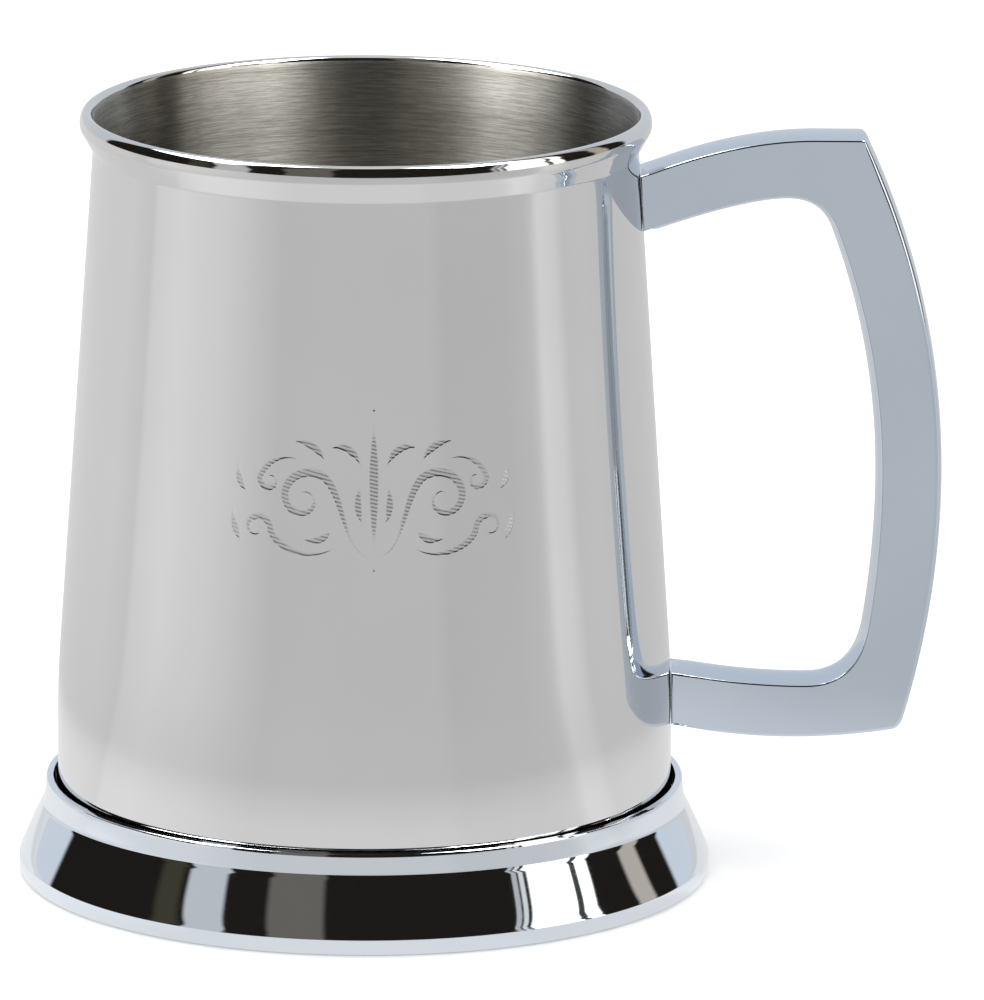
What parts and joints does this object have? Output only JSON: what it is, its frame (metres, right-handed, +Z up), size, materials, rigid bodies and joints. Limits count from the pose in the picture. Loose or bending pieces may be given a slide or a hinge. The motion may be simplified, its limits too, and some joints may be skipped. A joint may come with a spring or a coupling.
{
  "type": "tankard",
  "caption": "Tapered metal drinking tankard with a rolled rim, a flared foot ring and an angular D handle with an open finger gap.",
  "frame": {"origin": "on the drum's axis, in the plane of the foot's underside", "axes": "+Z up along the drum's axis, +X from the axis towards the handle, -Z out of the underside that it stands on"},
  "size_m": [0.1398, 0.105, 0.1174],
  "materials": {
    "drum_metal": "mirror-polished outside, brushed round the inside",
    "floor_metal": "brushed",
    "foot_plating": "bright cool plating",
    "base_metal": "satin",
    "handle_plating": "bright cool plating",
    "stud_metal": "plain"
  },
  "bodies": {
    "root": {"body_wall": "drum_metal", "cup_floor": "floor_metal", "foot_ring": "foot_plating", "base_plate": "base_metal", "handle": "handle_plating", "upper_handle_stud": "stud_metal", "lower_handle_stud": "stud_metal"}
  },
  "joints": []
}
